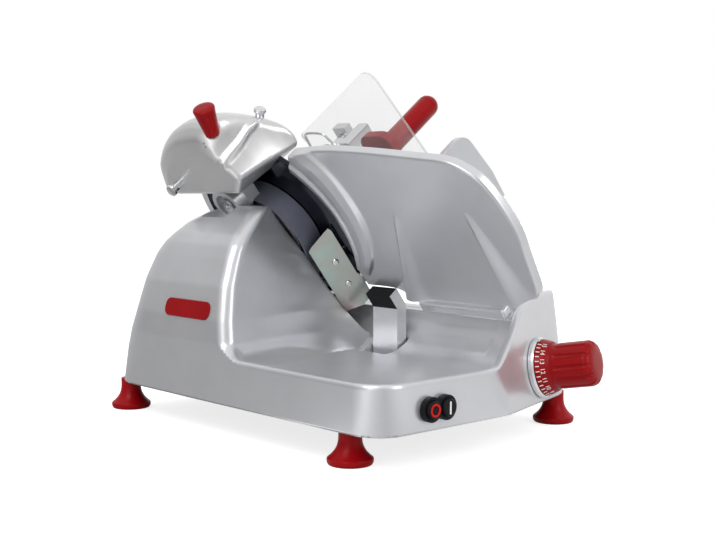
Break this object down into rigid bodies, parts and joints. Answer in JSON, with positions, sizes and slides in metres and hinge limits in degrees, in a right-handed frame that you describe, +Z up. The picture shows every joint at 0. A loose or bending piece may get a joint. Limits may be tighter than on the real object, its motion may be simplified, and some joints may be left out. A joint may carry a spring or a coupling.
{
  "type": "electric gravity-feed food slicer",
  "caption": "Compact electric slicer with a tilted round blade, sliding product table, clear hand guard, thickness dial, slice tray and built-in blade sharpener.",
  "frame": {"origin": "bottom centre of the bounding box, on the worktop under the four feet", "axes": "+Z up; +X to the right of the user facing the dial and the switch; +Y away from the user, along the travel of the product table; the blade leans back by 38 degrees about Y, with its cutting face towards +X and up"},
  "size_m": [0.3276, 0.4474, 0.334],
  "materials": {
    "cast_aluminium": "cast, ground and polished to a soft shine",
    "bright_aluminium": "machined and polished",
    "steel": "ground and plated",
    "blade_steel": "ground and mirror-polished hollow blade",
    "dark_steel": "blackened inner steel and iron",
    "red_plastic": "glossy moulded plastic",
    "red_rubber": "soft moulded rubber",
    "black_plastic": "fine-grained moulded plastic",
    "black_rubber": "belt rubber",
    "clear_plastic": "clear sheet",
    "stone": "bonded abrasive, open-grained",
    "motor_paint": "satin paint over steel"
  },
  "bodies": {
    "base": {"base_casting": "cast_aluminium", "base_cover": "black_plastic", "foot_front_left": "red_rubber", "foot_front_right": "red_rubber", "foot_rear_right": "red_rubber", "foot_rear_left": "red_rubber", "badge_plate": "red_plastic", "cable_gland": "black_plastic", "motor_body": "motor_paint", "drive_belt": "black_rubber", "belt_cover": "black_plastic", "bearing_front": "steel", "bearing_rear": "steel", "blade_cover": "bright_aluminium", "cover_screw": "steel", "blade_guard_ring": "bright_aluminium", "deflector_plate": "steel", "deflector_screw_1": "steel", "deflector_screw_2": "steel", "switch_plate": "black_plastic", "switch_body": "black_plastic", "index_ring": "bright_aluminium", "gauge_bar_front": "steel", "gauge_bar_rear": "steel", "sharpener_bracket": "cast_aluminium", "bracket_screw": "steel", "carriage_rod": "steel", "carriage_bar": "steel"},
    "blade_rotor": {"blade": "blade_steel", "blade_screw_1": "steel", "blade_screw_2": "steel", "blade_screw_3": "steel", "blade_pulley": "cast_aluminium", "blade_shaft": "steel"},
    "motor_rotor": {"motor_shaft": "steel", "motor_pulley": "dark_steel"},
    "thickness_control": {"thickness_knob": "red_plastic", "cam_shaft": "steel"},
    "gauge": {"gauge_arm": "dark_steel", "gauge_plate": "cast_aluminium"},
    "stop_push": {"stop_button": "black_plastic"},
    "start_push": {"start_button": "black_plastic"},
    "sharpener": {"sharpener_hood": "cast_aluminium"},
    "clamp": {"clamp_knob": "red_plastic"},
    "sharpening_head": {"sharpening_stone": "stone", "sharpening_spindle": "steel"},
    "honing_head": {"honing_stone": "stone", "honing_spindle": "steel"},
    "carriage": {"carriage_foot": "cast_aluminium", "carriage_column": "cast_aluminium", "product_table": "cast_aluminium", "pusher_rod": "steel"},
    "table_lock": {"table_lock_knob": "black_plastic"},
    "pusher_slider": {"pusher_bush": "black_plastic"},
    "pusher": {"pusher_arm": "bright_aluminium", "pusher_plate": "black_plastic", "hand_guard": "clear_plastic", "guard_wire": "steel", "pusher_handle": "red_plastic"}
  },
  "joints": [
    {"name": "blade_spin", "type": "hinge", "parent": "base", "child": "blade_rotor", "pos_m": [-0.02079, 0.10016, 0.1923], "axis": [0.788, 0, 0.6157], "continuous": true},
    {"name": "motor_spin", "type": "hinge", "parent": "base", "child": "motor_rotor", "pos_m": [-0.00749, 0.14016, 0.12655], "axis": [0.788, 0, 0.6157], "continuous": true},
    {"name": "knob_turn", "type": "hinge", "parent": "base", "child": "thickness_control", "pos_m": [0.06262, -0.16722, 0.062], "axis": [0.2818, -0.9452, 0.165], "range_deg": [0, 336]},
    {"name": "gauge_slide", "type": "slide", "parent": "base", "child": "gauge", "axis": [-1, 0, 0], "range_m": [0, 0.0178]},
    {"name": "stop_press", "type": "slide", "parent": "base", "child": "stop_push", "axis": [0, 1, 0], "range_m": [0, 0.0025], "stiffness_N_per_m": 300},
    {"name": "start_press", "type": "slide", "parent": "base", "child": "start_push", "axis": [0, 1, 0], "range_m": [0, 0.0025], "stiffness_N_per_m": 300},
    {"name": "sharpener_lift", "type": "slide", "parent": "base", "child": "sharpener", "axis": [-0.6157, 0, 0.788], "range_m": [0, 0.018]},
    {"name": "clamp_turn", "type": "hinge", "parent": "sharpener", "child": "clamp", "pos_m": [-0.13389, 0.06569, 0.2794], "axis": [-0.5264, -0.241, 0.8154], "range_deg": [0, 720]},
    {"name": "sharpening_press", "type": "slide", "parent": "sharpener", "child": "sharpening_head", "axis": [0.788, 0, 0.6157], "range_m": [0, 0.004], "stiffness_N_per_m": 400, "springref_m": -0.002},
    {"name": "honing_press", "type": "slide", "parent": "sharpener", "child": "honing_head", "axis": [0.2076, 0.3491, -0.9138], "range_m": [0, 0.004], "stiffness_N_per_m": 400, "springref_m": -0.003},
    {"name": "carriage_travel", "type": "slide", "parent": "base", "child": "carriage", "axis": [0, 1, 0], "range_m": [-0.096, 0.14]},
    {"name": "lock_turn", "type": "hinge", "parent": "carriage", "child": "table_lock", "pos_m": [0.10361, -0.00634, 0.122], "axis": [1, 0, 0], "range_deg": [0, 720]},
    {"name": "pusher_slide", "type": "slide", "parent": "carriage", "child": "pusher_slider", "axis": [0.788, 0, 0.6157], "range_m": [-0.03, 0.0235]},
    {"name": "pusher_swing", "type": "hinge", "parent": "pusher_slider", "child": "pusher", "pos_m": [0.06417, 0.14816, 0.24599], "axis": [-0.788, 0, -0.6157], "range_deg": [0, 85]}
  ],
  "couplings": [
    {"joint": "motor_spin", "follows": "blade_spin", "ratio": 3.5},
    {"joint": "knob_turn", "follows": "gauge_slide", "rad_per_m": 329.45}
  ]
}
